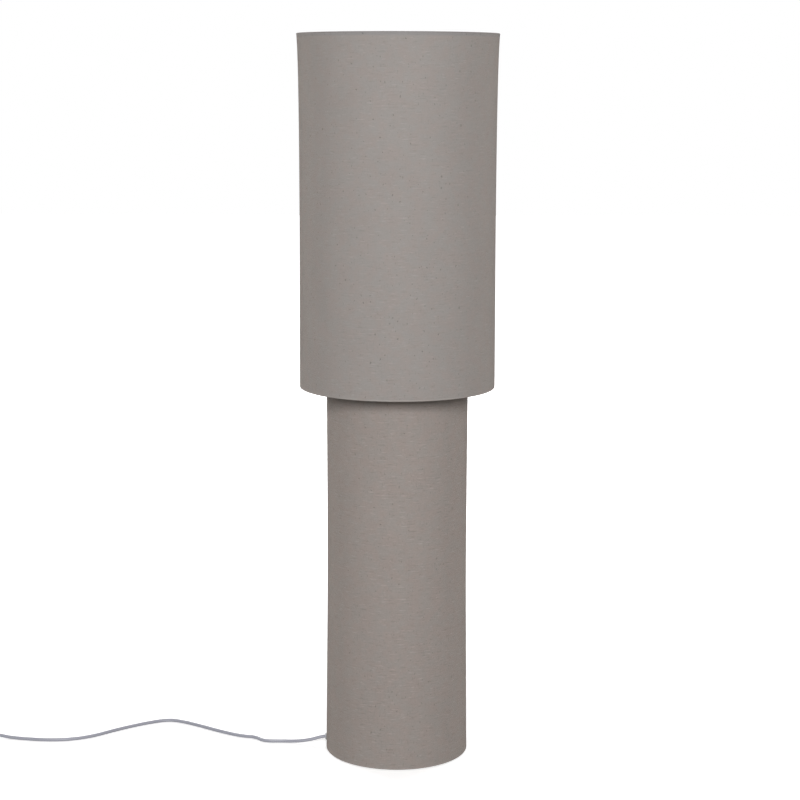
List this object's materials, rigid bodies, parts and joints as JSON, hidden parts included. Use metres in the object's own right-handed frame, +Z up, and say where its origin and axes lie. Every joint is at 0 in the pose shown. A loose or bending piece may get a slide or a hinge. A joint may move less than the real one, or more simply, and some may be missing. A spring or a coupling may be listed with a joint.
{
  "type": "floor lamp",
  "caption": "Column floor lamp: a slim fabric column on a steel base carries a wider fabric shade round a screw-in bulb, with a mains cord, foot switch and plug.",
  "frame": {"origin": "middle of the foot pad's underside, on the floor", "axes": "+Z up along the lamp's axis, -Y towards the viewer, cord leaving towards -X"},
  "size_m": [1.1699, 0.4558, 1.303],
  "materials": {
    "fabric": "matt linen-like woven fabric, warm light grey",
    "film": "stiff translucent white film",
    "white_wire": "white powder coat on wire",
    "felt": "grey needle felt",
    "base_steel": "white powder coat on steel plate",
    "white_tube": "white powder coat on tube",
    "zinc_steel": "bright zinc plating",
    "holder_plastic": "white thermoset, moulded",
    "insulator": "dark moulded insulator",
    "brass": "plain brass",
    "nickel": "nickel plate",
    "bulb_plastic": "white moulded housing",
    "bulb_opal": "opal diffuser",
    "clear_plastic": "translucent moulded plastic",
    "cord_plastic": "smooth light grey sheath, slightly translucent",
    "switch_plastic": "light grey moulded plastic",
    "plug_plastic": "light grey moulded plastic",
    "tie_plastic": "soft white band"
  },
  "bodies": {
    "root": {"foot_pad": "felt", "base_plate": "base_steel", "base_washer": "zinc_steel", "base_nut": "zinc_steel", "base_bolt": "zinc_steel", "lower_pole": "white_tube", "upper_pole": "white_tube", "pole_bushes": "zinc_steel", "pole_joiner": "zinc_steel", "holder_bolt": "zinc_steel", "column_foot_frame": "white_wire", "column_head_frame": "white_wire", "column_cover": "fabric", "column_liner": "film", "holder_cap": "holder_plastic", "holder_skirt": "holder_plastic", "holder_insert": "insulator", "screw_shell": "brass", "centre_contact": "brass", "holder_terminals": "brass", "cord_gland": "clear_plastic", "inner_lead": "cord_plastic", "lead_cores": "cord_plastic", "cord_clamp": "clear_plastic", "clamp_screws": "zinc_steel", "mains_cord": "cord_plastic", "link_cord": "cord_plastic", "cord_coil": "cord_plastic", "plug_cord": "cord_plastic", "coil_tie": "tie_plastic", "plug_body": "plug_plastic", "plug_pins": "nickel", "switch_base": "switch_plastic", "switch_cover": "switch_plastic", "switch_spring": "zinc_steel", "switch_sleeves": "switch_plastic", "switch_contacts": "brass"},
    "shade": {"shade_frame": "white_wire", "shade_head_ring": "white_wire", "shade_liner": "film", "shade_cover": "fabric"},
    "shade_ring": {"shade_ring": "holder_plastic"},
    "bulb_contact": {"bulb_tip": "brass"},
    "bulb": {"bulb_insulator": "insulator", "bulb_cap": "nickel", "bulb_housing": "bulb_plastic", "bulb_globe": "bulb_opal"},
    "switch_button": {"switch_button": "switch_plastic"}
  },
  "joints": [
    {"name": "shade_turn", "type": "hinge", "parent": "root", "child": "shade", "pos_m": [0, 0, 0.82], "axis": [0, 0, 1], "continuous": true},
    {"name": "shade_ring_turn", "type": "hinge", "parent": "root", "child": "shade_ring", "pos_m": [0, 0, 0.82], "axis": [0, 0, 1], "range_deg": [0, 1080]},
    {"name": "bulb_rise", "type": "slide", "parent": "root", "child": "bulb_contact", "axis": [0, 0, 1], "range_m": [0, 0.0182]},
    {"name": "bulb_turn", "type": "hinge", "parent": "bulb_contact", "child": "bulb", "pos_m": [0, 0, 0.82], "axis": [0, 0, 1], "range_deg": [0, 1800]},
    {"name": "button_press", "type": "slide", "parent": "root", "child": "switch_button", "axis": [0, 0, -1], "range_m": [0, 0.0035], "stiffness_N_per_m": 900, "springref_m": -0.004, "deforming": ["switch_spring"]}
  ],
  "couplings": [
    {"joint": "bulb_rise", "follows": "bulb_turn", "m_per_rad": 0.00057757}
  ]
}
